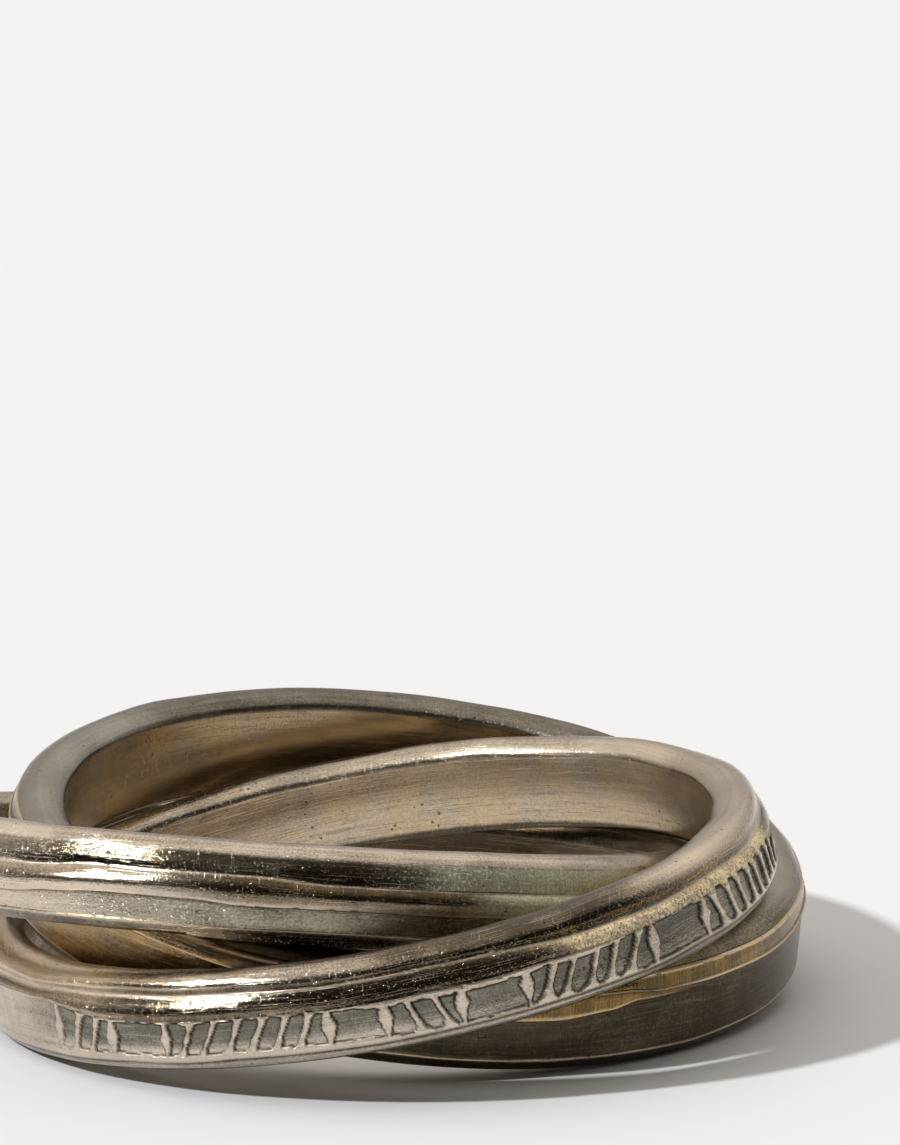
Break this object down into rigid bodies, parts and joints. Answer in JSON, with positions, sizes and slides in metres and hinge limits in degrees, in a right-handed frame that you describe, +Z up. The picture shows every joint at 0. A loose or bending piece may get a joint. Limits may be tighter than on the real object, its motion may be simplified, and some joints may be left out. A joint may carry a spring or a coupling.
{
  "type": "rolling ring of linked silver bands",
  "caption": "Finger ring of linked round silver bands that roll over each other; one carries a raised ornament in a channel, one is stepped and one has a broad lower face.",
  "frame": {"origin": "on the surface the ring rests on, below the middle of its bounding box", "axes": "+Z up through the finger opening, +X to the viewer's right in the picture, +Y away from the viewer"},
  "size_m": [0.026, 0.0248, 0.0067],
  "materials": {
    "worn_silver": "silver with a dark patina, worn bright on the crown, edges and raised ornament",
    "oxidised_silver": "silver with a dark patina on its faces and bright, scratched ridges",
    "dark_silver": "silver with a heavy dark patina and golden tarnish beside its ridges"
  },
  "bodies": {
    "relief_band": {"relief_band": "worn_silver"},
    "stepped_band": {"stepped_band": "oxidised_silver"},
    "broad_band": {"broad_band": "dark_silver"}
  },
  "joints": [
    {"name": "stepped_band_roll", "type": "hinge", "parent": "relief_band", "child": "stepped_band", "pos_m": [-0.00137, 0.00108, 0.00338], "axis": [0.0653, 0.1738, 0.9826], "continuous": true},
    {"name": "broad_band_roll", "type": "hinge", "parent": "relief_band", "child": "broad_band", "pos_m": [0.00181, 0.00112, 0.00332], "axis": [0.1123, -0.1324, 0.9848], "continuous": true}
  ]
}
